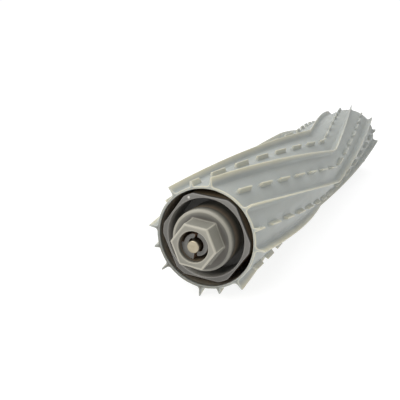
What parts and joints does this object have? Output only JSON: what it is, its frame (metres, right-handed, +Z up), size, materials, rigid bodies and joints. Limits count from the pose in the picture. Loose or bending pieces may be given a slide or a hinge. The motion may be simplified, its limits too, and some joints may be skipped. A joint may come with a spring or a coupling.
{
  "type": "robot vacuum roller brush",
  "caption": "Rubber roller brush with chevron fins and rows of low nubs on a keyed axle. A hex-nosed bearing cap pulls off a steel pin at one end, a hex peg drives the other.",
  "frame": {"origin": "on the roller's axis, at the middle of its length, where the chevrons have their points", "axes": "+X along the axis from the cap end to the drive end, +Z up as it lies in the picture"},
  "size_m": [0.1924, 0.03, 0.03],
  "materials": {
    "rubber_grey": "matt light grey rubber",
    "end_plastic": "moulded grey plastic",
    "cap_plastic": "moulded warm grey plastic",
    "bush_plastic": "moulded bluish grey plastic",
    "steel": "turned steel"
  },
  "bodies": {
    "bearing_cap": {"hex_cap": "cap_plastic"},
    "bush": {"snap_bush": "bush_plastic"},
    "roller": {"rubber_sleeve": "rubber_grey", "end_bell": "end_plastic", "axle": "end_plastic", "pivot_pin": "steel"}
  },
  "joints": [
    {"name": "roller_spin", "type": "hinge", "parent": "bearing_cap", "child": "bush", "pos_m": [-0.089, 0, 0], "axis": [1, 0, 0], "continuous": true},
    {"name": "cap_pull_off", "type": "slide", "parent": "bush", "child": "roller", "axis": [1, 0, 0], "range_m": [0, 0.02]}
  ]
}
